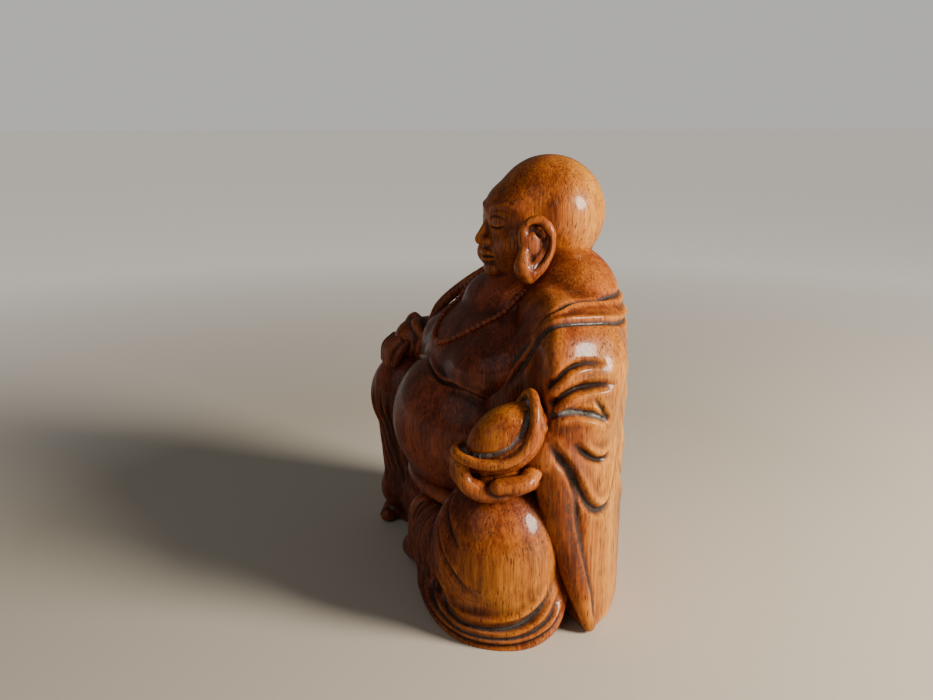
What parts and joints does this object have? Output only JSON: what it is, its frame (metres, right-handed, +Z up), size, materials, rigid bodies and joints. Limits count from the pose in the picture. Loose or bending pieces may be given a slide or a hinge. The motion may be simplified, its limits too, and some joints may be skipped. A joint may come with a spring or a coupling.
{
  "type": "seated laughing buddha statue",
  "caption": "Seated laughing buddha in stained, waxed hardwood, round belly bare, one knee raised under a hand, an ingot held in the other; flat base.",
  "frame": {"origin": "centre of the bounding box on the base plane", "axes": "+Z up to the crown of the head, -Y the way the figure faces, +X the figure's own left side, where the hand with the ingot is"},
  "size_m": [0.1978, 0.123, 0.2393],
  "materials": {
    "warm_stain": "hardwood stained orange-brown and waxed, glossy",
    "dark_stain": "hardwood stained dark red-brown and waxed, glossy",
    "bare_dowel_wood": "bare turned wood"
  },
  "bodies": {
    "root": {"head": "warm_stain", "torso": "dark_stain", "robe_back": "warm_stain", "left_sleeve": "warm_stain", "right_sleeve": "dark_stain", "left_leg": "warm_stain", "right_leg": "dark_stain", "left_foot": "dark_stain", "right_foot": "dark_stain", "left_hand": "warm_stain", "right_hand": "dark_stain", "ingot": "warm_stain", "necklace": "dark_stain", "waistband": "dark_stain", "neck_dowel": "bare_dowel_wood", "left_shoulder_dowel": "bare_dowel_wood", "right_shoulder_dowel": "bare_dowel_wood", "upper_back_dowel": "bare_dowel_wood", "lower_back_dowel": "bare_dowel_wood", "left_hip_dowel": "bare_dowel_wood", "right_hip_dowel": "bare_dowel_wood", "left_wrist_dowel": "bare_dowel_wood", "right_wrist_dowel": "bare_dowel_wood", "ingot_dowel": "bare_dowel_wood", "left_foot_dowel": "bare_dowel_wood", "right_foot_dowel": "bare_dowel_wood"}
  },
  "joints": []
}
